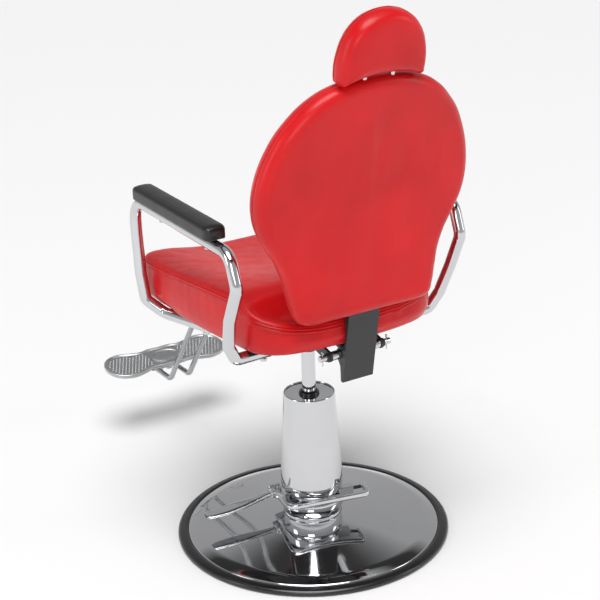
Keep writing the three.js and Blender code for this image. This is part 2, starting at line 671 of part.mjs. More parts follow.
function buildHeadrest() {
  const outline = smoothOutline(HEAD_HALF, 28);
  const at = (ring, w) => ring.map(([u, v]) => [u, w, v]);
  const rim = [[0, 6], [4, 16], [14, 26]];
  const face = (way) => at(towards(inset(outline, 14), HEAD_CENTRE, 0.6), way * 30);
  const rings = [face(-1)];
  for (const [pull, w] of rim.slice().reverse()) {
    rings.push(at(inset(outline, pull), -w));
  }
  for (const [pull, w] of rim) {
    rings.push(at(inset(outline, pull), w));
  }
  rings.push(face(1));
  const placed = (geometry) => leaning(geometry, HEAD_TILT, HEAD_Y, HEAD_Z);
  const slot = box(-60.4, 60.4, -8, 8, -10, 95.4);
  place('headrest_cushion', 'red_leather', placed(cut(loft(rings), slot)));
  const core = box(-60, 60, -7.6, 7.6, 24, 95);
  const hole = (x) => rod([x, 0, 10], [x, 0, 68.4], HEAD_ROD_R + GAP, 12);
  place('headrest_core', 'plywood', placed(cut(core, hole(HEAD_ROD_X), hole(-HEAD_ROD_X))));
  placePair('headrest_rod', 'chrome', headRodLine(HEAD_ROD_X, -180, 68, HEAD_ROD_R, 12));
}

// ---------------------------------------------------------------- recline strut and its release
function buildStrut() {
  const [y0, z0] = STRUT_FRONT;
  const [y1, z1] = STRUT_REAR;
  const length = Math.hypot(y1 - y0, z1 - z0);
  const along = [(y1 - y0) / length, (z1 - z0) / length];
  const at = (s) => [STRUT_X, y0 + along[0] * s, z0 + along[1] * s];
  const across = (x0, x1, s, radius, sides) => {
    const y = y0 + along[0] * s;
    const z = z0 + along[1] * s;
    return rod([x0, y, z], [x1, y, z], radius, sides);
  };
  const left = STRUT_X - 4.5;
  const right = STRUT_X + 4.5;
  place('strut_body', 'black_steel', cut(
    join(across(left, right, 0, 8, 16), rod(at(4), at(14), 4, 16), rod(at(12), at(84), 10, 16)),
    across(left - 5, right + 5, 0, 4 + GAP, 12), rod(at(30), at(90), 4.4, 12)));
  place('strut_rod', 'chrome', cut(
    join(rod(at(58), at(124), 4, 12), across(left, right, length, 9, 16)),
    across(left - 5, right + 5, length, 5.8, 16)));
  const mountSide = (x0, x1) => sidePlate([
    [38, PLATE_BOTTOM - GAP], [42, 486], [50, 484], [58, 486], [62, PLATE_BOTTOM - GAP],
  ], x0, x1);
  const bridge = box(STRUT_X - 9, STRUT_X + 9, 38, 62, 506, PLATE_BOTTOM - GAP);
  place('strut_mount', 'black_steel', join(
    mountSide(STRUT_X - 9, STRUT_X - 5), mountSide(STRUT_X + 5, STRUT_X + 9), bridge,
    across(STRUT_X - 11, STRUT_X + 11, 0, 4, 20)));
}

const SHAFT_Y = 20;
const SHAFT_Z = 484;

function buildReleaseLever() {
  const path = bendPath([[-28, SHAFT_Y, SHAFT_Z], [-239, SHAFT_Y, SHAFT_Z, 16], [-239, -92, SHAFT_Z]]);
  const finger = box(-33, -27, SHAFT_Y - 4, 46, SHAFT_Z - 4, SHAFT_Z + 4);
  place('recline_lever', 'chrome', join(sweep(path, circle(5, 16)), finger));
  const grip = lathe([
    [5 + GAP, 0], [8, 0], [10, 3], [9, 30], [10.5, 62], [8.5, 71], [0, 73], [0, 69.3], [5 + GAP, 69.3],
  ], 16);
  grip.rotateX(Math.PI / 2);
  grip.translate(-239, -23, SHAFT_Z);
  place('recline_lever_grip', 'grip', facingOut(
    Array.from(grip.getAttribute('position').array), Array.from(grip.index.array)));
  for (const [label, x] of [['inner', -52], ['outer', -140]]) {
    const block = box(x - 5, x + 5, SHAFT_Y - 10, SHAFT_Y + 10, SHAFT_Z - 9, PLATE_BOTTOM - GAP);
    const hole = rod([x - 9, SHAFT_Y, SHAFT_Z], [x + 9, SHAFT_Y, SHAFT_Z], 5 + GAP, 20);
    place(`lever_bearing_${label}`, 'black_steel', cut(block, hole));
  }
}

// ---------------------------------------------------------------- footrest
function buildFootrest() {
  const top = PLATE_BOTTOM - GAP - FOOT_BAR_R - 0.2;
  const path = bendPath([
    [FOOT_BAR_X, -66, top], [FOOT_BAR_X, -356, top, 60], [FOOT_BAR_X, -611, FOOT_SHAFT_Z, 26],
    [FOOT_BAR_X, FOOT_SHAFT_Y + 7 + GAP, FOOT_SHAFT_Z],
  ]);
  placePair('footrest_bar', 'steel', sweep(path, circle(FOOT_BAR_R, 12)));
  const clampTop = top - FOOT_BAR_R - GAP;
  place('footrest_clamp', 'black_steel', box(-45, 45, -140, -80, clampTop - 6, clampTop));
  place('footplate_shaft', 'black_steel', rod(
    [-34, FOOT_SHAFT_Y, FOOT_SHAFT_Z], [34, FOOT_SHAFT_Y, FOOT_SHAFT_Z], 7, 24));
}

const FOOT_HALF = [
  [0, -46], [28, -47], [52, -43], [74, -47], [104, -56], [135, -51], [155, -33], [162, -4],
  [156, 25], [136, 44], [106, 52], [76, 45], [54, 38], [28, 40], [0, 40],
];
const FOOT_TILT = 8 * DEG;

function buildFootplate() {
  const outline = smoothOutline(FOOT_HALF, 30);
  const at = (ring, z) => ring.map(([x, y]) => [x, y, z]);
  const slab = loft([
    at(inset(outline, 3), -5), at(outline, -2), at(outline, 4), at(inset(outline, 2), 6),
  ]);
  const recess = loft([at(inset(outline, 9), 3.2), at(inset(outline, 7), 8)]);
  const oval = [];
  for (let i = 0; i < 16; i += 1) {
    const angle = (2 * Math.PI * i) / 16;
    oval.push([38 * Math.cos(angle), -4 + 27 * Math.sin(angle)]);
  }
  const medallion = loft([at(oval, 0), at(oval, 5), at(towards(oval, [0, -4], 0.93), 6)]);
  const plate = join(cut(slab, recess), medallion);
  plate.rotateX(-FOOT_TILT);
  plate.translate(0, -685, 171);
  const bosses = [-1, 1].map((side) => {
    const y = FOOT_SHAFT_Y;
    const z = FOOT_SHAFT_Z;
    const points = [];
    for (let step = 0; step <= 8; step += 1) {
      const angle = (180 + 22.5 * step) * DEG;
      points.push([y + 12.5 * Math.cos(angle), z + 12.5 * Math.sin(angle)]);
    }
    points.push([y + 20, 168], [y - 14, 171]);
    return side > 0 ? sidePlate(points, 8, 18) : sidePlate(points, -18, -8);
  });
  const bore = rod([-30, FOOT_SHAFT_Y, FOOT_SHAFT_Z], [30, FOOT_SHAFT_Y, FOOT_SHAFT_Z], 7 + GAP, 24);
  place('footplate', 'aluminium', cut(join(plate, ...bosses), bore));
}

buildBase();
buildPump();
buildLever();
buildRam();
buildSeat();
buildArms();
buildHinge();
buildBack();
buildBracket();
buildHeadrest();
buildStrut();
buildReleaseLever();
buildFootrest();
buildFootplate();

export default chair;
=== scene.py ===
import json
import math

import bmesh
import bpy
import numpy as np
from mathutils import Matrix, Vector, noise


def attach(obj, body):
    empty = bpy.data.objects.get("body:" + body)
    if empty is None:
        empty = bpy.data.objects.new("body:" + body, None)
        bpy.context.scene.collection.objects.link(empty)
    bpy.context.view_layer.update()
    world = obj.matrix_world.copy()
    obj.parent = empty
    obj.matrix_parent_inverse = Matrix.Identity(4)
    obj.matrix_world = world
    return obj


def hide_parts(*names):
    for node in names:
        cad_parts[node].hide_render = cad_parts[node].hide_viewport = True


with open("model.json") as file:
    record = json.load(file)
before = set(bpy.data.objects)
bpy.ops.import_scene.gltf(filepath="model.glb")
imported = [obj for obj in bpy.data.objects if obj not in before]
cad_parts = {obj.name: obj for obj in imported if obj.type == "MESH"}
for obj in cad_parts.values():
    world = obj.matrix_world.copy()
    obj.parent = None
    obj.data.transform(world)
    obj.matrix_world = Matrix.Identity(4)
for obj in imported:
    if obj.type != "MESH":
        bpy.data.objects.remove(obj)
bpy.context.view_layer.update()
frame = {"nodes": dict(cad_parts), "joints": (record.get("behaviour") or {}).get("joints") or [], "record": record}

nodes = frame["nodes"]
DEG = math.pi / 180
MM = 0.001
PIVOTS = {j["name"]: [c / MM for c in j["pos_m"]] for j in frame["joints"] if "pos_m" in j}
SIDES = ("left", "right")
NOISE_LOW = 0.3
NOISE_HIGH = 0.7


# ------------------------------------------------------------------ materials
def new_material(name):
    material = bpy.data.materials.new(name)
    material.use_nodes = True
    tree = material.node_tree
    tree.nodes.clear()
    out = tree.nodes.new("ShaderNodeOutputMaterial")
    shader = tree.nodes.new("ShaderNodeBsdfPrincipled")
    tree.links.new(shader.outputs["BSDF"], out.inputs["Surface"])
    return material, tree, shader


def add(tree, kind, **values):
    """A new node with the given values on its inputs."""
    node = tree.nodes.new(kind)
    for key, value in values.items():
        node.inputs[key].default_value = value
    return node


def position(tree, stretch=(1, 1, 1)):
    place = tree.nodes.new("ShaderNodeTexCoord")
    mapping = tree.nodes.new("ShaderNodeMapping")
    mapping.inputs["Scale"].default_value = stretch
    tree.links.new(place.outputs["Object"], mapping.inputs["Vector"])
    return mapping.outputs["Vector"]


def noise_at(tree, scale, detail=3, rough=0.5, stretch=(1, 1, 1)):
    node = add(tree, "ShaderNodeTexNoise", Scale=scale, Detail=detail, Roughness=rough)
    tree.links.new(position(tree, stretch), node.inputs["Vector"])
    return node.outputs["Fac"]


def cells_at(tree, scale, feature="F1"):
    node = add(tree, "ShaderNodeTexVoronoi", Scale=scale)
    node.feature = feature
    tree.links.new(position(tree), node.inputs["Vector"])
    return node.outputs["Distance"]


def ranged(tree, value, low, high):
    """Spreads a noise value over low to high."""
    node = tree.nodes.new("ShaderNodeMapRange")
    node.inputs["From Min"].default_value = NOISE_LOW
    node.inputs["From Max"].default_value = NOISE_HIGH
    node.inputs["To Min"].default_value = low
    node.inputs["To Max"].default_value = high
    tree.links.new(value, node.inputs["Value"])
    return node.outputs["Result"]


def two_tone(tree, value, dark, light):
    """Blends two colours by a noise value."""
    ramp = tree.nodes.new("ShaderNodeValToRGB")
    ramp.color_ramp.elements[0].position = NOISE_LOW
    ramp.color_ramp.elements[1].position = NOISE_HIGH
    ramp.color_ramp.elements[0].color = (*dark, 1)
    ramp.color_ramp.elements[1].color = (*light, 1)
    tree.links.new(value, ramp.inputs["Fac"])
    return ramp.outputs["Color"]


def bumped(tree, shader, layers):
    normal = None
    for height, strength, distance in layers:
        bump = tree.nodes.new("ShaderNodeBump")
        bump.inputs["Strength"].default_value = strength
        bump.inputs["Distance"].default_value = distance
        tree.links.new(height, bump.inputs["Height"])
        if normal is not None:
            tree.links.new(normal, bump.inputs["Normal"])
        normal = bump.outputs["Normal"]
    tree.links.new(normal, shader.inputs["Normal"])


def metal(name, tone, rough, spread=0.03, haze=25, grain=None):
    material, tree, shader = new_material(name)
    shader.inputs["Metallic"].default_value = 1
    cloud = noise_at(tree, haze, 4)
    tree.links.new(two_tone(tree, cloud, [0.975 * t for t in tone], tone), shader.inputs["Base Color"])
    tree.links.new(ranged(tree, cloud, rough, rough + spread), shader.inputs["Roughness"])
    if grain:
        bumped(tree, shader, [(noise_at(tree, grain[0], 2), grain[1], grain[2])])
    return material


def leather(name, dark, light, rough, coat):
    material, tree, shader = new_material(name)
    cloud = noise_at(tree, 9, 4)
    tree.links.new(two_tone(tree, cloud, dark, light), shader.inputs["Base Color"])
    handled = noise_at(tree, 40, 3)
    tree.links.new(ranged(tree, handled, rough - 0.04, rough + 0.07), shader.inputs["Roughness"])
    shader.inputs["Specular IOR Level"].default_value = 0.22
    shader.inputs["Coat Weight"].default_value = coat
    shader.inputs["Coat Roughness"].default_value = 0.2
    shader.inputs["Sheen Weight"].default_value = 0.02
    bumped(tree, shader, [
        (noise_at(tree, 22, 3), 0.16, 0.004),
        (cells_at(tree, 620, "DISTANCE_TO_EDGE"), 0.10, 0.0004),
        (noise_at(tree, 900, 2), 0.05, 0.0003),
    ])
    return material


def moulded(name, tone, rough, coat, pore, depth):
    material, tree, shader = new_material(name)
    cloud = noise_at(tree, 30, 3)
    tree.links.new(two_tone(tree, cloud, [0.75 * t for t in tone], tone), shader.inputs["Base Color"])
    tree.links.new(ranged(tree, cloud, rough - 0.03, rough + 0.06), shader.inputs["Roughness"])
    shader.inputs["Coat Weight"].default_value = coat
    shader.inputs["Coat Roughness"].default_value = 0.15
    bumped(tree, shader, [(noise_at(tree, 16, 2), 0.1, 0.003), (cells_at(tree, pore), depth, 0.0004)])
    return material


def plywood(name):
    material, tree, shader = new_material(name)
    grain = noise_at(tree, 14, 6, 0.6, (1, 9, 9))
    tree.links.new(two_tone(tree, grain, (0.32, 0.19, 0.09), (0.58, 0.41, 0.23)), shader.inputs["Base Color"])
    shader.inputs["Roughness"].default_value = 0.7
    bumped(tree, shader, [(grain, 0.25, 0.0006)])
    return material


CHROME = metal("chrome_mirror", (0.64, 0.645, 0.66), 0.04, 0.03)
SATIN = metal("steel_bright", (0.62, 0.63, 0.64), 0.2, 0.08, 60, (1500, 0.06, 0.0002))
ROD = metal("steel_drawn", (0.42, 0.43, 0.44), 0.17, 0.08, 60, (1500, 0.05, 0.0002))
CAST = metal("aluminium_cast", (0.52, 0.53, 0.54), 0.34, 0.12, 80, (700, 0.25, 0.0005))
RED = leather("leather_red", (0.54, 0.0035, 0.006), (0.66, 0.006, 0.009), 0.38, 0.22)
PAD = moulded("pad_black", (0.005, 0.005, 0.0055), 0.36, 0.2, 900, 0.12)
GRIP = moulded("grip_black", (0.014, 0.014, 0.015), 0.45, 0.1, 1200, 0.15)
RUBBER = moulded("rubber_black", (0.006, 0.006, 0.007), 0.3, 0.35, 1500, 0.04)
PAINT = moulded("paint_black", (0.022, 0.023, 0.025), 0.42, 0.12, 1700, 0.18)
CLOTH = moulded("dust_cloth_black", (0.012, 0.012, 0.013), 0.9, 0, 1400, 0.4)
THREAD = moulded("thread_red", (0.50, 0.012, 0.016), 0.5, 0.1, 2600, 0.4)
WOOD = plywood("plywood_raw")
BY_SLOT = {
    "chrome": CHROME, "steel": SATIN, "black_steel": PAINT, "rubber": RUBBER, "arm_pad": PAD,
    "grip": GRIP, "aluminium": CAST, "red_leather": RED, "plywood": WOOD,
}


# ------------------------------------------------------------------ shapes, drawn in millimetres
BEND_STEP = 5 * DEG


def smoothstep(low, high, value):
    t = np.clip((np.asarray(value, float) - low) / (high - low), 0, 1)
    return t * t * (3 - 2 * t)


def fillet(points, radius, steps=4):
    """Rounds the corners of a closed 2-D line; a third number in a point is its own radius."""
    count = len(points)
    made = []
    for i, point in enumerate(points):
        p = Vector(point[:2])
        r = point[2] if len(point) > 2 else radius
        before = Vector(points[i - 1][:2]) - p
        after = Vector(points[(i + 1) % count][:2]) - p
        reach = min(r, 0.45 * before.length, 0.45 * after.length)
        if reach < 0.02 or abs(before.normalized().dot(after.normalized())) > 0.9995:
            made.append(tuple(p))
            continue
        a = p + before.normalized() * reach
        b = p + after.normalized() * reach
        for step in range(steps + 1):
            t = step / steps
            made.append(tuple((1 - t) ** 2 * a + 2 * t * (1 - t) * p + t * t * b))
    return made


def closed_curve(points, count):
    """A smooth closed centripetal curve through 2-D points, resampled at even distances."""
    p = np.array(points, float)
    n = len(p)
    dense = []
    for i in range(n):
        q = [p[(i + k) % n] for k in (-1, 0, 1, 2)]
        t = [0.0]
        for a, b in zip(q, q[1:]):
            t.append(t[-1] + max(1e-4, np.linalg.norm(b - a)) ** 0.5)
        for s in np.linspace(t[1], t[2], 24, endpoint=False):
            a1 = [((t[k + 1] - s) * q[k] + (s - t[k]) * q[k + 1]) / (t[k + 1] - t[k]) for k in range(3)]
            a2 = [((t[k + 2] - s) * a1[k] + (s - t[k]) * a1[k + 1]) / (t[k + 2] - t[k]) for k in range(2)]
            dense.append(((t[2] - s) * a2[0] + (s - t[1]) * a2[1]) / (t[2] - t[1]))
    dense = np.array(dense + dense[:1])
    run = np.concatenate([[0], np.cumsum(np.linalg.norm(np.diff(dense, axis=0), axis=1))])
    at = np.linspace(0, run[-1], count, endpoint=False)
    return np.c_[np.interp(at, run, dense[:, 0]), np.interp(at, run, dense[:, 1])]


def mirrored_outline(half, count):
    left = [(-x, y) for x, y in reversed(half) if x > 0]
    return closed_curve(list(half) + left, count)


def inset(outline, amount):
    ahead = np.roll(outline, -1, 0) - np.roll(outline, 1, 0)
    ahead /= np.linalg.norm(ahead, axis=1)[:, None]
    amount = np.broadcast_to(np.asarray(amount, float), (len(outline),))[:, None]
    return outline + np.c_[-ahead[:, 1], ahead[:, 0]] * amount


def towards(outline, centre, scale):
    return np.array(centre) + (outline - np.array(centre)) * scale


def loft_faces(count, rings):
    faces = []
    for r in range(rings - 1):
        for i in range(count):
            j = (i + 1) % count
            a = r * count
            faces.append((a + i, a + j, a + count + j, a + count + i))
    return faces


def loft(rings):
    """(points, faces) of a closed skin over rings of equal length."""
    rings = [np.asarray(r, float) for r in rings]
    count = len(rings[0])
    points = np.concatenate(rings)
    faces = loft_faces(count, len(rings))
    for ring, start, flip in ((rings[0], 0, True), (rings[-1], (len(rings) - 1) * count, False)):
        centre = len(points)
        points = np.concatenate([points, [ring.mean(0)]])
        for i in range(count):
            j = (i + 1) % count
            faces.append((centre, start + j, start + i) if flip else (centre, start + i, start + j))
    return points, faces


def lathe(profile, segments=160, radius=0.6, steps=4):
    """Turns a closed [radius, height] outline about Z; points at radius 0 close on the axis."""
    line = fillet(profile, radius, steps)
    if any(r < 1e-6 for r, _ in line):
        first = next(i for i in range(len(line)) if line[i][0] > 1e-6 and line[i - 1][0] <= 1e-6)
        line = [p for p in line[first:] + line[:first] if p[0] > 1e-6]
        ends = [p for p in profile if p[0] < 1e-6]
        low, high = min(p[1] for p in ends), max(p[1] for p in ends)
        caps = (low, high) if abs(line[0][1] - low) < abs(line[0][1] - high) else (high, low)
    else:
        caps = None
    angles = np.linspace(0, 2 * math.pi, segments, endpoint=False)
    rings = [np.c_[r * np.cos(angles), r * np.sin(angles), np.full(segments, z)] for r, z in line]
    points = np.concatenate(rings)
    faces = loft_faces(segments, len(rings))
    if caps is None:
        last = (len(rings) - 1) * segments
        for i in range(segments):
            j = (i + 1) % segments
            faces.append((last + i, last + j, j, i))
    else:
        for ring, z in ((0, caps[0]), (len(rings) - 1, caps[1])):
            centre = len(points)
            points = np.concatenate([points, [[0, 0, z]]])
            for i in range(segments):
                faces.append((centre, ring * segments + i, ring * segments + (i + 1) % segments))
    return points, faces


def bend_path(points):
    """A path whose inner points are rounded by their own radius, the fourth number in each."""
    path = [Vector(points[0][:3])]
    for i in range(1, len(points) - 1):
        corner = Vector(points[i][:3])
        before = (Vector(points[i - 1][:3]) - corner).normalized()
        after = (Vector(points[i + 1][:3]) - corner).normalized()
        half = before.angle(after) / 2
        reach = points[i][3] / math.tan(half)
        centre = corner + (before + after).normalized() * (points[i][3] / math.sin(half))
        start = corner + before * reach - centre
        end = corner + after * reach - centre
        turn = start.angle(end)
        axis = start.cross(end).normalized()
        steps = max(2, math.ceil(turn / BEND_STEP))
        for s in range(steps + 1):
            path.append(Matrix.Rotation(turn * s / steps, 3, axis) @ start + centre)
    path.append(Vector(points[-1][:3]))
    return path


def sweep(path, section, ends=0.0):
    """Sweeps [side, up] pairs along a path; ends rounds the two rims off by that much."""
    path = [Vector(p) for p in path]
    stations = []
    if ends > 0:
        head = (path[1] - path[0]).normalized()
        tail = (path[-1] - path[-2]).normalized()
        for k in (0, 30, 60, 90):
            advance = 1 - math.cos(k * DEG)
            stations.append((path[0] + head * ends * advance, ends * (1 - math.sin(k * DEG))))
        stations += [(p, 0) for p in path[1:-1]]
        for k in (90, 60, 30, 0):
            advance = 1 - math.cos(k * DEG)
            stations.append((path[-1] - tail * ends * advance, ends * (1 - math.sin(k * DEG))))
    else:
        stations = [(p, 0) for p in path]
    rings = []
    side = None
    size = max(math.hypot(*s) for s in section)
    for i, (point, lost) in enumerate(stations):
        before = stations[max(0, i - 1)][0]
        after = stations[min(len(stations) - 1, i + 1)][0]
        along = (after - before).normalized()
        if side is None:
            helper = Vector((1, 0, 0)) if abs(along.z) > 0.9 else Vector((0, 0, 1))
            side = along.cross(helper).normalized()
        side = (side - along * side.dot(along)).normalized()
        up = side.cross(along)
        k = 1 - lost / size
        rings.append([point + side * (s * k) + up * (u * k) for s, u in section])
    return loft(rings)


def circle(radius, sides=32):
    return [(radius * math.cos(2 * math.pi * i / sides), radius * math.sin(2 * math.pi * i / sides))
            for i in range(sides)]


def rod(start, end, radius, sides=32, ends=0.5):
    a, b = Vector(start), Vector(end)
    return sweep([a, a.lerp(b, 0.5), b], circle(radius, sides), ends)


def ring_along(start, end, outer, inner):
    """A tube with rounded rims between two points."""
    a, b = Vector(start), Vector(end)
    length = (b - a).length
    points, faces = lathe([(inner, 0), (outer, 0), (outer, length), (inner, length)], 40, 0.5)
    turn = (b - a).to_track_quat("Z", "Y").to_matrix()
    return np.array([turn @ Vector(p) + a for p in points]), faces


def side_plate(points, x0, x1, radius=2):
    """A plate with rounded corners and softened edges, drawn in the YZ plane."""
    line = np.array(fillet(points, radius, 5))
    middle = line.mean(0)
    shrunk = middle + (line - middle) * (1 - 0.5 / np.abs(line - middle).max())
    flat = lambda ring, x: np.c_[np.full(len(ring), x), ring]
    return loft([flat(shrunk, x0), flat(line, x0 + 0.4), flat(line, x1 - 0.4), flat(shrunk, x1)])


def moved(shape, matrix):
    points, faces = shape
    return np.array([matrix @ Vector(p) for p in points]), faces


def mirror(shape):
    points, faces = shape
    return np.asarray(points) * (-1, 1, 1), [tuple(reversed(f)) for f in faces]


def joined(*shapes):
    points, faces = [], []
    for p, f in shapes:
        faces += [tuple(i + len(points) for i in face) for face in f]
        points += [tuple(x) for x in p]
    return np.array(points), faces


def piece(name, shape, material, body, replaces=(), angle=40):
    points, faces = shape
    data = bpy.data.meshes.new(name)
    data.from_pydata([tuple(c * MM for c in p) for p in points], [], faces)
    data.update()
    bm = bmesh.new()
    bm.from_mesh(data)
    bmesh.ops.remove_doubles(bm, verts=bm.verts, dist=1e-6)
    bmesh.ops.recalc_face_normals(bm, faces=bm.faces)
    bm.to_mesh(data)
    bm.free()
    for polygon in data.polygons:
        polygon.use_smooth = True
    data.set_sharp_from_angle(angle=angle * DEG)
    data.materials.append(material)
    obj = bpy.data.objects.new(name, data)
    bpy.context.scene.collection.objects.link(obj)
    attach(obj, body)
    if replaces:
        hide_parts(*replaces)
    return obj


def leaning(points, tilt, y, z):
    p = np.asarray(points, float)
    s, c = math.sin(tilt), math.cos(tilt)
    return np.c_[p[:, 0], y - c * p[:, 1] + s * p[:, 2], z + s * p[:, 1] + c * p[:, 2]]


# ------------------------------------------------------------------ every CAD node gets its finish
slot_of = {row["node"]: row["material_slot"] for row in frame["record"]["subparts"]}
for name, node in nodes.items():
    node.data.materials.clear()
    node.data.materials.append(BY_SLOT[slot_of[name]])
    for polygon in node.data.polygons:
        polygon.use_smooth = True
    node.data.set_sharp_from_angle(angle=35 * DEG)


def soften(names, width):
    for name in names:
        bevel = nodes[name].modifiers.new("softened", "BEVEL")
        bevel.width = width * MM
        bevel.segments = 2
        bevel.limit_method = "ANGLE"
        bevel.angle_limit = 35 * DEG


soften(["back_bracket", "seat_plate", "footrest_clamp", "strut_mount", "lever_bracket", "valve_block"], 0.6)
soften([f"hinge_lug_{side}" for side in SIDES] + ["lever_bearing_inner", "lever_bearing_outer"], 0.5)
soften([f"arm_bolt_{end}_{side}" for end in ("front", "rear") for side in SIDES], 0.3)


# ------------------------------------------------------------------ floor base and pump
def build_base():
    piece("rubber_rim", lathe([
        (277.3, 0), (297, 0, 2), (300, 3, 3), (300, 8, 4), (296, 12.5, 4), (283, 14.5, 4), (277.3, 13, 1),
    ], 224, 1), RUBBER, "base", ["base_trim_ring"])
    piece("floor_disc", lathe([
        (277, 1), (277, 12.5, 3), (275, 14.5, 3), (253, 21, 9), (150, 33, 60), (64, 45), (64, 42),
        (252, 18), (273, 11.5), (273, 1),
    ], 224, 0.5, 6), CHROME, "base", ["base_disc"], 25)
    piece("pump_bowl", lathe([
        (0, 0), (36, 0), (36, 28), (63.5, 28), (63.5, 45.4, 2), (61.5, 50, 4), (66, 58, 6), (70.5, 70, 8),
        (72, 80, 6), (70, 88, 5), (52, 90, 1), (52, 104), (36, 104), (36, 312), (25, 312), (25, 46), (0, 46),
    ], 128, 0.5), CHROME, "base", ["pump_body"])
    piece("pump_sleeve", lathe([
        (52.3, 97), (60, 97, 3), (65.5, 102, 5), (69, 118, 12), (56, 329.3, 1.2), (55, 331, 0.8),
        (53.6, 331, 0.5), (53.6, 320), (66.4, 119, 8), (63, 104, 4), (59, 99.6, 2), (52.3, 99.6),
    ], 160, 0.4, 6), CHROME, "base", ["pump_cover"])
    piece("pump_lid", lathe([
        (22.3, 325), (53.2, 325), (53.2, 328.5, 0.8), (50.5, 327.8, 0.8), (22.3, 327.6),
    ], 160, 0.3), CHROME, "base", ["pump_cover_cap"])
    piece("ram_wiper", lathe([
        (15.3, 325), (22, 325), (22, 331, 1), (20.6, 333, 1), (18, 335, 1.2), (15.3, 335, 0.4),
    ], 96, 0.4), RUBBER, "base", ["ram_seal"])


TURN = Matrix.Rotation(-12.6 * DEG, 4, "Z")
LEVER_X = 82
LEVER_Z = PIVOTS["pump_pedal"][2]
SCREW_Y = 43
SCREW_Z = 101


def build_lever():
    hub = rod((LEVER_X, -34, LEVER_Z), (LEVER_X, -8, LEVER_Z), 8.5, 40, 1)
    along = np.array([84, 100, 125, 155, 190, 220, 236, 240], float)
    halves = np.array([8, 8, 11, 16, 18, 16, 13, 10], float)
    thick = np.array([5, 5, 4.5, 4, 3.5, 3.5, 3.5, 2.5], float)
    height = np.array([90, 87, 82, 76, 70, 66, 65, 65], float)
    rings = []
    for x in np.concatenate([np.linspace(84, 232, 42), np.linspace(233.5, 240, 8)]):
        half = np.interp(x, along, halves)
        t = np.interp(x, along, thick)
        z = np.interp(x, along, height)
        ring = []
        for k in range(32):
            a = 2 * math.pi * k / 32
            c, s = math.cos(a), math.sin(a)
            across = half * math.copysign(abs(c) ** 0.45, c)
            ring.append((x, -21 + across, z + t * math.copysign(abs(s) ** 0.6, s)))
        rings.append(ring)
    rings = smooth_rings(rings)
    loop = sweep(bend_path([
        (LEVER_X - 3, -9.6, 92), (LEVER_X - 3, 79, 99, 18), (-104, 80, 101, 12), (-104, 36, 101),
    ]), fillet([(-4.5, -5.5), (-4.5, 5.5), (4.5, 5.5), (4.5, -5.5)], 2.2, 4), 0.8)
    piece("foot_lever", moved(joined(hub, loft(rings), loop), TURN), CHROME,
          "pump_pedal_lever", ["pump_lever"])
    coil = []
    for k in range(121):
        a = 2 * math.pi * k / 20
        y, z = SCREW_Y + 3.5 * math.cos(a), SCREW_Z + 3.5 * math.sin(a)
        coil.append(Vector((-81.5 - 16.6 * k / 120, y, z)))
    core = rod((-80.8, SCREW_Y, SCREW_Z), (-98.8, SCREW_Y, SCREW_Z), 3.1, 24, 0.6)
    piece("stop_screw", moved(joined(core, sweep(coil, circle(0.7, 8))), TURN), PAINT, "base",
          ["lever_stop_screw"])


def smooth_rings(rings):
    """Evens out the kinks between the stations of a loft."""
    p = np.array(rings, float)
    for _ in range(3):
        q = p.copy()
        q[1:-1, :, 1:] = 0.25 * p[:-2, :, 1:] + 0.5 * p[1:-1, :, 1:] + 0.25 * p[2:, :, 1:]
        p = q
    return list(p)


def build_ram():
    piece("ram_bar", lathe([
        (0, 140), (24.6, 140), (24.6, 152), (15, 152), (15, 440), (13, 470), (0, 470),
    ], 96, 0.4), CHROME, "ram", ["ram"])
    piece("hub_sleeve", lathe([
        (0, 470.4), (13.3, 470.4), (15.3, 440), (15.3, 430), (20, 430, 1), (24, 434, 2), (24, 480, 6),
        (34, 498, 4), (34, 510.2, 0.5), (0, 510.2),
    ], 96, 0.3), PAINT, "seat", ["seat_hub"])


# ------------------------------------------------------------------ upholstery
# Each _HALF is the half of an outline on the side where X is positive, from one end to the other.
SEAT_HALF = [
    (0, -301), (100, -300), (188, -297), (225, -289), (240, -270), (244, -236), (241, -150), (234, -20),
    (224, 75), (212, 140), (174, 179), (105, 197), (0, 202),
]
SEAT_BOTTOM = 516
SEAT_CENTRE = (0, -50)
STITCH_DROP = 12.2
STITCH_PITCH = 5.6
STITCH_LENGTH = 3.6
STITCH_R = 0.42


def seam_height(x, y):
    front = 606 + 12 * smoothstep(-252, 35, y)
    rear = 40 * smoothstep(60, 200, y)
    middle = 10 * smoothstep(120, 185, y) * (1 - smoothstep(90, 190, np.abs(x)))
    dish = 19 * (1 - smoothstep(50, 215, np.abs(x))) * (1 - smoothstep(-120, 110, y))
    return front - rear - middle - dish


def top_height(x, y, share):
    crown = 5 * (1 - smoothstep(70, 180, y))
    under = 576 + 70 * (1 - smoothstep(70, 150, y)) + 12 * smoothstep(150, 215, np.abs(x))
    return np.minimum(seam_height(x, y) + 9 + crown * share, under)


def fractal(x, y, z, seed):
    return noise.fractal(Vector((x + seed, y - seed, z)), 0.6, 2.0, 3)


def ripple(points, scale, seed):
    """Noise at each point; scale is waves per metre on each axis."""
    sx, sy, sz = scale
    return np.array([fractal(p[0] * sx * MM, p[1] * sy * MM, p[2] * sz * MM, seed) for p in points])


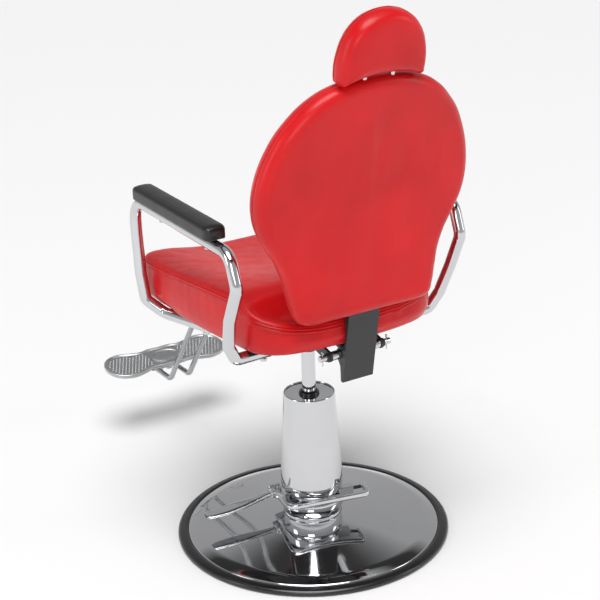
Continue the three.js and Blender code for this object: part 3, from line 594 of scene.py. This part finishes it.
def build_seat():
    outline = mirrored_outline(SEAT_HALF, 288)
    x, y = outline.T
    seam = seam_height(x, y)
    over_tube = smoothstep(150, 200, np.abs(x)) * (1 - smoothstep(-190, -120, y))
    tuck = 9 + 9 * over_tube
    low = 3 + 6 * over_tube
    rear = smoothstep(120, 190, y)
    pucker = ripple(np.c_[outline, seam], (45, 45, 10), 3.1)
    tight = 1 + 1.6 * rear * smoothstep(60, 130, np.abs(x))
    pucker = pucker * tight
    slow = ripple(np.c_[outline, seam], (9, 9, 4), 7.7)

    def ring(pull, z, near=0.0, wave=0.0):
        line = inset(outline, pull + near * pucker + wave * slow)
        return np.c_[line, np.broadcast_to(z, (len(outline),)) + near * 0.8 * pucker]

    rings = []
    for scale in (0.25, 0.5, 0.75, 0.92):
        inner = towards(inset(outline, tuck + 14), SEAT_CENTRE, scale)
        rings.append(np.c_[inner, np.full(len(inner), SEAT_BOTTOM + 0.4)])
    rings.append(ring(tuck + 14, SEAT_BOTTOM + 0.4))
    rings += [
        ring(tuck + 4, SEAT_BOTTOM), ring(tuck, SEAT_BOTTOM + 0.8), ring((tuck + low) / 2, SEAT_BOTTOM + 3.4),
        ring(low, SEAT_BOTTOM + 8), ring(low * 0.5 + 0.3, SEAT_BOTTOM + 14, 0.1, 0.4),
    ]
    for t in np.linspace(0.12, 0.86, 12):
        z = SEAT_BOTTOM + 14 + (seam - 20 - SEAT_BOTTOM - 14) * t
        rings.append(ring(0.4 - 2.2 * math.sin(math.pi * t), z, 0.25 + 0.5 * t * t, 1.0))
    rings += [
        ring(0.1, seam - 17, 0.8, 1.0), ring(0.5 + 0.8 * rear, seam - 13.5, 0.9, 0.8),
        ring(-0.6 - 1.0 * rear, seam - 10.5, 0.8, 0.6), ring(-0.7 - 1.0 * rear, seam - 8.5, 0.7, 0.6),
        ring(0.9 + 1.0 * rear, seam - 6, 0.6, 0.4), ring(-0.4 - 0.8 * rear, seam - 3.6, 0.4, 0.3),
        ring(-0.3 - 0.8 * rear, seam - 2, 0.2, 0.2), ring(2.0, seam, 0.1, 0.2),
        ring(0.4, seam + 1.8, 0.3, 0.2), ring(1.2, seam + 3.6, 0.6, 0.3), ring(3.0, seam + 5.8, 0.9, 0.3),
        ring(6.2, seam + 7.6, 0.9, 0.2), ring(11, seam + 8.7, 0.6, 0.1),
    ]
    top = inset(outline, 17)
    for scale in np.concatenate([[1.0], np.linspace(0.965, 0.05, 34)]):
        line = towards(top, SEAT_CENTRE, scale)
        share = 1 - scale * scale
        z = top_height(line[:, 0], line[:, 1], 0.1 + 0.9 * share)
        z = z + 1.1 * ripple(np.c_[line, np.zeros(len(line))], (7, 7, 1), 4.2)
        z = z + 0.5 * smoothstep(0.6, 1, scale) * pucker
        rings.append(np.c_[line, z])
    seat = piece("seat_pad", loft(rings), RED, "seat", ["seat_cushion"], 60)
    seat.data.materials.append(CLOTH)
    limit = (SEAT_BOTTOM + 2.5) * MM
    for polygon in seat.data.polygons:
        if all(seat.data.vertices[i].co.z < limit for i in polygon.vertices):
            polygon.material_index = 1
    line = inset(outline, -0.35 - 0.6 * rear + 0.8 * pucker)
    run = [Vector((*p, s - STITCH_DROP)) for p, s in zip(line, seam)]
    stitches = stitched(run + run[:1], STITCH_PITCH, STITCH_LENGTH, STITCH_R)
    piece("seat_stitching", joined(*stitches), THREAD, "seat")


def stitched(run, pitch, length, radius):
    """Short round stitches at even distances along a line of points."""
    lengths = [0.0]
    for a, b in zip(run, run[1:]):
        lengths.append(lengths[-1] + (b - a).length)
    made = []
    count = int(lengths[-1] / pitch)
    data = np.array([tuple(p) for p in run])
    pick = lambda s: Vector([float(np.interp(s, lengths, data[:, k])) for k in range(3)])
    for i in range(count):
        s = i * lengths[-1] / count
        a, b = pick(s), pick(s + length)
        made.append(sweep([a, a.lerp(b, 0.5), b], circle(radius, 6), radius * 0.7))
    return made


BACK_HALF = [
    (0, 0), (80, 0), (132, 1), (155, 10), (165, 32), (173, 65), (182, 103), (197, 138), (214, 166),
    (229, 192), (240, 222), (244.5, 255), (242.5, 290), (235, 325), (222, 360), (202, 398), (179, 427),
    (154, 452), (118, 475), (80, 488), (40, 495), (0, 497),
]
BACK_CENTRE = (0, 245)
BACK_TILT = 7 * DEG
BACK_Y = 216.6
BACK_Z = 588
BACK_HEIGHT = 497
BACK_BOW = 30
BACK_SEAM = 6


def on_back(points):
    p = np.array(points, float)
    t = p[:, 2] / BACK_HEIGHT
    p[:, 1] += 4 * BACK_BOW * t * (1 - t)
    return leaning(p, BACK_TILT, BACK_Y, BACK_Z)


RIM_TURN = 76 * DEG


def pad_rings(outline, centre, seam, way, depth, edge, dome, pucker, low_noise, lift):
    """Rings from the seam over the rounded rim to the middle of one face of a pad."""
    made = []
    start = math.asin(way * seam / depth)
    turn = lambda t: start + (RIM_TURN - start) * t

    def ring(line, w):
        made.append(np.c_[line[:, 0], np.broadcast_to(w, (len(line),)), line[:, 1]])

    ring(inset(outline, 6.5), seam - way * 0.2)
    ring(inset(outline, 3.2 + 0.2 * pucker), seam + way * 0.1)
    for t in (0.02, 0.06):
        ring(inset(outline, 1.6 - 14 * t + 0.3 * pucker), seam + way * (0.5 + 22 * t))
    for t in np.linspace(0.14, 1, 16):
        a = turn(t)
        near = 0.9 * math.exp(-t * 5)
        rim = inset(outline, edge * (1 - math.cos(a)) + near * pucker)
        ring(rim, way * depth * math.sin(a) + 0.3 * near * pucker)
    last = inset(outline, edge * (1 - math.cos(RIM_TURN)))
    base = depth * math.sin(RIM_TURN)
    full = depth + dome
    for scale in np.linspace(0.975, 0.04, 40):
        line = towards(last, centre, scale)
        w = full - (full - base) * scale ** 5
        soft = lift * smoothstep(0, 0.35, 1 - scale)
        flat = np.c_[line[:, 0], np.zeros(len(line)), line[:, 1]]
        ring(line, way * (w + soft * low_noise(flat)))
    return made


def build_back():
    outline = mirrored_outline(BACK_HALF, 300)
    flat = np.c_[outline[:, 0], np.zeros(len(outline)), outline[:, 1]]
    pucker = ripple(flat, (50, 1, 50), 1.3)
    rear_noise = lambda p: 1.6 * ripple(p, (13, 1, 2.6), 5.5) + 1.8 * ripple(p, (5, 1, 3), 9.1)
    front_noise = lambda p: 1.4 * ripple(p, (6, 1, 5), 2.4)
    rear = pad_rings(outline, BACK_CENTRE, BACK_SEAM - 0.2, -1, 28, 28, 4, pucker, rear_noise, 1.0)
    cover = piece("back_panel", loft([on_back(r) for r in rear]), RED, "backrest",
                  ["back_cover"], 60)
    front = pad_rings(outline, BACK_CENTRE, BACK_SEAM + 0.2, 1, 38, 28, 7, pucker, front_noise, 1.0)
    pad = piece("back_pad", loft([on_back(r) for r in front]), RED, "backrest",
                ["back_cushion"], 60)


HEAD_TILT = 12 * DEG
HEAD_Y = 278.3
HEAD_Z = 1070
HEAD_HALF = [
    (0, 18), (40, 15.5), (72, 8), (87, 4), (94, 10), (96.5, 30), (96, 48), (92, 70), (85.5, 90),
    (75, 108), (61, 123), (42, 135), (20, 141.5), (0, 143.5),
]
HEAD_CENTRE = (0, 72)
ROD_X = 31.4


def build_headrest():
    outline = mirrored_outline(HEAD_HALF, 200)
    flat = np.c_[outline[:, 0], np.zeros(len(outline)), outline[:, 1]]
    pucker = ripple(flat, (55, 1, 55), 6.3)
    low = lambda p: 0.6 * ripple(p, (12, 1, 12), 3.9)
    head_seam = 9
    rear = pad_rings(outline, HEAD_CENTRE, head_seam - 0.2, -1, 27, 18, 3, pucker, low, 0.7)
    front = pad_rings(outline, HEAD_CENTRE, head_seam + 0.2, 1, 27, 18, 3, pucker, low, 0.7)
    skin = rear[::-1] + front[1:]
    skin = loft([leaning(r, HEAD_TILT, HEAD_Y, HEAD_Z) for r in skin])
    shell = piece("head_pad", skin, RED, "headrest", ["headrest_cushion"], 60)
    for side, x in (("left", ROD_X), ("right", -ROD_X)):
        a, b, c, d = leaning([(x, 0, -180), (x, 0, 68), (x, 0, -190), (x, 0, 4)], HEAD_TILT, HEAD_Y, HEAD_Z)
        piece(f"head_rod_{side}", rod(a, b, 6, 40, 1), CHROME, "headrest", [f"headrest_rod_{side}"])
        piece(f"head_socket_{side}", ring_along(c, d, 9, 6.3), SATIN, "backrest",
              [f"headrest_socket_{side}"])


# ------------------------------------------------------------------ arms
ARM_X = 267
ARM_R = 12.7
ARM_RUN_Z = 503


def arm_run(y):
    """Height of the tube's top run, which rises 8 mm from its rear bend to its front bend."""
    return 748 + 8 * (158 - y) / 402


def build_arms():
    path = bend_path([
        (196, -68, ARM_RUN_Z), (234, -204, ARM_RUN_Z, 24), (263, -229, 532, 22), (ARM_X, -237, 590, 30),
        (ARM_X, -243, 680, 80), (ARM_X, -244, arm_run(-244), 45), (ARM_X, 158, arm_run(158), 38),
        (ARM_X, 182, 682, 26), (ARM_X, 147, 606, 60), (258, 121, 540, 20), (237, 110, ARM_RUN_Z, 18),
        (158, 108, ARM_RUN_Z),
    ])
    tube = sweep(path, circle(ARM_R, 40), 1.2)
    section = fillet([
        (-23.5, -14.5, 4), (23.5, -14.5, 4), (23.5, 8, 5), (20, 13.2, 3), (9, 15.2, 8), (0, 15.4, 8),
        (-9, 15.2, 8), (-20, 13.2, 3), (-23.5, 8, 5),
    ], 4, 5)
    section = np.array(section)
    rings = []
    stations = [(-207, 6.5), (-206.6, 4.4), (-205.4, 2.6), (-203, 1.1), (-199.5, 0.2), (-195, 0)]
    stations += [(y, 0) for y in np.linspace(-185, 92, 38)]
    stations += [(98, 0.15), (103, 0.8), (107, 2.0), (110, 3.8), (112, 6.2), (112.8, 8.6), (113, 10.5)]
    for y, lost in stations:
        kx = 1 - lost / 23.5
        up = section[:, 1]
        top = np.where(up > 0, up * (1 - lost / 15), up * (1 - 0.35 * lost / 15))
        z = arm_run(y) + 27.7 + top
        rings.append(np.c_[ARM_X + section[:, 0] * kx, np.full(len(section), y), z])
    pad = loft(rings)
    for side in SIDES:
        bow, rest = (tube, pad) if side == "left" else (mirror(tube), mirror(pad))
        piece(f"arm_bow_{side}", bow, CHROME, "seat", [f"arm_tube_{side}"])
        soft = piece(f"arm_rest_{side}", rest, PAD, "seat", [f"arm_pad_{side}"], 50)


# ------------------------------------------------------------------ hinge, lever and footrest
AXLE_Y, AXLE_Z = PIVOTS["recline"][1:]


def build_hinge():
    piece("axle_bar", rod((-86, AXLE_Y, AXLE_Z), (86, AXLE_Y, AXLE_Z), 6.5, 48, 1), CHROME, "seat",
          ["hinge_axle"])
    for side, way in (("left", 1), ("right", -1)):
        tube = ring_along((way * 38, AXLE_Y, AXLE_Z), (way * 58.7, AXLE_Y, AXLE_Z), 9.5, 6.8)
        piece(f"axle_spacer_{side}", tube, CHROME, "seat", [f"hinge_spacer_{side}"])
        x = way * 78
        loop = []
        for k in range(23):
            a = (15 * k - 90) * DEG
            loop.append((x, AXLE_Y + 3.0 * math.cos(a), AXLE_Z + 11.4 + 3.0 * math.sin(a)))
        legs = rod((x, AXLE_Y, AXLE_Z + 8.6), (x, AXLE_Y, AXLE_Z - 16.8), 1.45, 16, 0.4)
        head = sweep(loop, circle(1.0, 10))
        piece(f"split_pin_{side}", joined(legs, head), SATIN, "seat", [f"cotter_pin_{side}"])


RELEASE_X = -239
RELEASE_Z = PIVOTS["recline_lever_turn"][2]


def build_release():
    path = bend_path([
        (-28, 20, RELEASE_Z), (RELEASE_X, 20, RELEASE_Z, 16), (RELEASE_X, -92, RELEASE_Z)])
    finger = loft([
        [(x, y, z) for y, z in fillet([(16, 480), (46, 480), (46, 488), (16, 488)], 2)] for x in (-33, -27)])
    piece("release_rod", joined(sweep(path, circle(5, 28), 0.8), finger), CHROME, "recline_lever",
          ["recline_lever"])
    line = [(5.3, 0), (8, 0, 1), (10, 3, 2)]
    for k in range(8):
        z = 8 + 6.4 * k
        line += [(9.9, z, 0.5), (9.1, z + 1.6, 0.5), (9.9, z + 3.2, 0.5)]
    line += [(10.4, 63, 3), (8.5, 71, 3), (4, 73, 2), (0, 73), (0, 69.3), (5.3, 69.3)]
    place = Matrix.Translation((RELEASE_X, -23, RELEASE_Z)) @ Matrix.Rotation(90 * DEG, 4, "X")
    piece("release_grip", moved(lathe(line, 56, 0.5), place), GRIP, "recline_lever",
          ["recline_lever_grip"])


FOOT_X = 26
FOOT_R = 6.35
SHAFT_Y, SHAFT_Z = PIVOTS["footplate_flip"][1:]
FOOT_CENTRE = (0, -4)
MEDALLION_CLEAR = 42
BOSS_R = 12.5
FOOT_HALF = [
    (0, -46), (28, -47), (52, -43), (74, -47), (104, -56), (135, -51), (155, -33), (162, -4),
    (156, 25), (136, 44), (106, 52), (76, 45), (54, 38), (28, 40), (0, 40),
]


def build_footrest():
    top = 510.5 - 0.3 - FOOT_R - 0.2
    path = bend_path([
        (FOOT_X, -66, top), (FOOT_X, -356, top, 60), (FOOT_X, -611, SHAFT_Z, 26),
        (FOOT_X, SHAFT_Y + 7.3, SHAFT_Z),
    ])
    bar = sweep(path, circle(FOOT_R, 32), 0.8)
    for side in SIDES:
        shape = bar if side == "left" else mirror(bar)
        piece(f"foot_bar_{side}", shape, ROD, "seat", [f"footrest_bar_{side}"])
    piece("foot_axle", rod((-34, SHAFT_Y, SHAFT_Z), (34, SHAFT_Y, SHAFT_Z), 7, 40, 1), PAINT, "seat",
          ["footplate_shaft"])


def build_footplate():
    outline = mirrored_outline(FOOT_HALF, 200)
    at = lambda pull, z: np.c_[inset(outline, pull), np.full(len(outline), z)]
    rings = []
    for scale in (0.3, 0.7):
        rings.append(np.c_[towards(inset(outline, 12), FOOT_CENTRE, scale), np.full(len(outline), -5.0)])
    rings += [at(12, -5), at(4.5, -5), at(3, -4.8), at(0.9, -3.2), at(0, -1.6), at(0, 3), at(0.3, 4.6),
              at(1.2, 5.7), at(2.4, 6), at(4.2, 5.9), at(5.6, 5.1), at(6.8, 3.8), at(8, 3.3), at(10, 3.2)]
    for scale in (0.8, 0.5, 0.2):
        rings.append(np.c_[towards(inset(outline, 10), FOOT_CENTRE, scale), np.full(len(outline), 3.2)])
    shapes = [loft(rings)]
    a = np.linspace(0, 2 * math.pi, 72, endpoint=False)
    oval = lambda w, d, z: np.c_[w * np.cos(a), FOOT_CENTRE[1] + d * np.sin(a), np.full(len(a), z)]
    shapes.append(loft([
        oval(38, 27, 1), oval(38, 27, 5), oval(37.6, 26.6, 5.8), oval(36.6, 25.6, 6), oval(34.6, 23.6, 6),
        oval(33.8, 22.8, 5.6), oval(33.4, 22.4, 4.6), oval(32.6, 21.8, 4.3), oval(18, 12, 4.3),
        oval(6, 4, 4.3),
    ]))
    edge = inset(outline, 11.5)
    for row in range(-7, 8):
        for column in range(-22, 23):
            x = column * 9 + (row % 2) * 4.5
            y = FOOT_CENTRE[1] + row * 8.4
            if abs(x) < MEDALLION_CLEAR or not inside(edge, x, y):
                continue
            shapes.append(stud(x, y, 3.0, 2.5, 2.1))
    tilt = Matrix.Translation((0, -685, 171)) @ Matrix.Rotation(-8 * DEG, 4, "X")
    plate = moved(joined(*shapes), tilt)
    bosses = []
    for x0, x1 in ((8, 18), (-18, -8)):
        bends = [k * DEG for k in range(180, 361, 15)]
        line = [(SHAFT_Y + BOSS_R * math.cos(a), SHAFT_Z + BOSS_R * math.sin(a)) for a in bends]
        line += [(SHAFT_Y + 20, 168), (SHAFT_Y - 14, 171)]
        bosses.append(side_plate(line, x0, x1, 1))
    piece("foot_tread", joined(plate, *bosses), CAST, "footplate", ["footplate"], 45)


def inside(outline, x, y):
    hit = False
    for (x0, y0), (x1, y1) in zip(outline, np.roll(outline, -1, 0)):
        if (y0 > y) != (y1 > y) and x < (x1 - x0) * (y - y0) / (y1 - y0) + x0:
            hit = not hit
    return hit


def stud(x, y, z, radius, height):
    rings = []
    for k in (0, 35, 65, 85):
        r, h = radius * math.cos(k * DEG), height * math.sin(k * DEG)
        turns = [j * math.pi / 5 for j in range(10)]
        rings.append([(x + r * math.cos(a), y + r * math.sin(a), z + h) for a in turns])
    return loft(rings)


build_base()
build_lever()
build_ram()
build_seat()
build_back()
build_headrest()
build_arms()
build_hinge()
build_release()
build_footrest()
build_footplate()


# ------------------------------------------------------------------ floor, light and camera, in metres
FLOOR_HALF = 30
FLOOR_DROP = 0.0004
AZIMUTH = 148.69 * DEG
ELEVATION = 21.40 * DEG
ROLL = -1.84 * DEG
FIELD_OF_VIEW = 20.288
CAMERA_AT = (1.72426, 2.80928, 1.83384)


def studio_floor_material():
    material, _, shader = new_material("studio_floor")
    shader.inputs["Base Color"].default_value = (0.82, 0.82, 0.82, 1)
    shader.inputs["Roughness"].default_value = 0.9
    shader.inputs["Specular IOR Level"].default_value = 0.1
    return material


def studio_world():
    """A plain room: pale at the horizon, a dark band above it and a pale ceiling."""
    world = bpy.data.worlds.new("studio")
    bpy.context.scene.world = world
    world.use_nodes = True
    tree = world.node_tree
    tree.nodes.clear()
    link = tree.links.new
    split = tree.nodes.new("ShaderNodeSeparateXYZ")
    link(tree.nodes.new("ShaderNodeTexCoord").outputs["Generated"], split.inputs[0])
    ramp = tree.nodes.new("ShaderNodeValToRGB")
    stops = ((0.0, 1.0), (0.3, 0.75), (0.58, 0.7), (0.68, 0.08), (0.78, 0.06), (0.86, 0.8))
    while len(ramp.color_ramp.elements) < len(stops):
        ramp.color_ramp.elements.new(0.5)
    for element, (place, level) in zip(ramp.color_ramp.elements, stops):
        element.position = place
        element.color = (level, level, level, 1)
    link(split.outputs["Z"], ramp.inputs["Fac"])
    room = add(tree, "ShaderNodeBackground", Strength=0.6)
    link(ramp.outputs["Color"], room.inputs["Color"])
    link(room.outputs[0], tree.nodes.new("ShaderNodeOutputWorld").inputs["Surface"])


def soft_sun(name, direction, strength, angle):
    """One wide lamp that lights the floor evenly as far as it goes."""
    light = bpy.data.lights.new(name, "SUN")
    light.energy = strength
    light.angle = angle * DEG
    obj = bpy.data.objects.new(name, light)
    obj.rotation_mode = "QUATERNION"
    obj.rotation_quaternion = Vector(direction).to_track_quat("-Z", "Y")
    bpy.context.scene.collection.objects.link(obj)


def build_stage():
    data = bpy.data.meshes.new("studio_floor")
    r = FLOOR_HALF
    corners = [(x, y, -FLOOR_DROP) for x, y in ((-r, -r), (r, -r), (r, r), (-r, r))]
    data.from_pydata(corners, [], [(0, 1, 2, 3)])
    data.materials.append(studio_floor_material())
    floor = bpy.data.objects.new("studio_floor", data)
    bpy.context.scene.collection.objects.link(floor)

    def panel(name, place, target, width, height, power):
        light = bpy.data.lights.new(name, "AREA")
        light.shape = "RECTANGLE"
        light.size, light.size_y = width, height
        light.energy = power
        obj = bpy.data.objects.new(name, light)
        obj.location = place
        obj.rotation_mode = "QUATERNION"
        obj.rotation_quaternion = (Vector(target) - Vector(place)).to_track_quat("-Z", "Y")
        bpy.context.scene.collection.objects.link(obj)

    soft_sun("overhead", (-0.2, -0.3, -1), 2.5, 40)
    panel("side_left", (4.2, -0.6, 2.0), (0, 0, 0.7), 1.2, 2.4, 24)
    panel("fill_rear", (2.9, 3.6, 2.4), (0, 0, 0.8), 1.8, 1.6, 30)
    panel("side_right", (-3.4, 2.6, 2.2), (0, 0, 0.7), 1.0, 2.4, 20)

    studio_world()
    bpy.context.scene.view_settings.view_transform = "Standard"


def build_camera():
    level = math.cos(ELEVATION)
    back = Vector((math.sin(AZIMUTH) * level, -math.cos(AZIMUTH) * level, math.sin(ELEVATION)))
    right = Vector((math.cos(AZIMUTH), math.sin(AZIMUTH), 0))
    up = back.cross(right)
    side = right * math.cos(ROLL) + up * math.sin(ROLL)
    top = up * math.cos(ROLL) - right * math.sin(ROLL)
    camera = bpy.data.cameras.new("camera")
    camera.sensor_width = 36
    camera.lens = 18 / math.tan(FIELD_OF_VIEW / 2 * DEG)
    camera.clip_end = 200
    obj = bpy.data.objects.new("camera", camera)
    turn = Matrix((side, top, back)).transposed().to_4x4()
    obj.matrix_world = Matrix.Translation(CAMERA_AT) @ turn
    bpy.context.scene.collection.objects.link(obj)
    bpy.context.scene.camera = obj


build_stage()
build_camera()
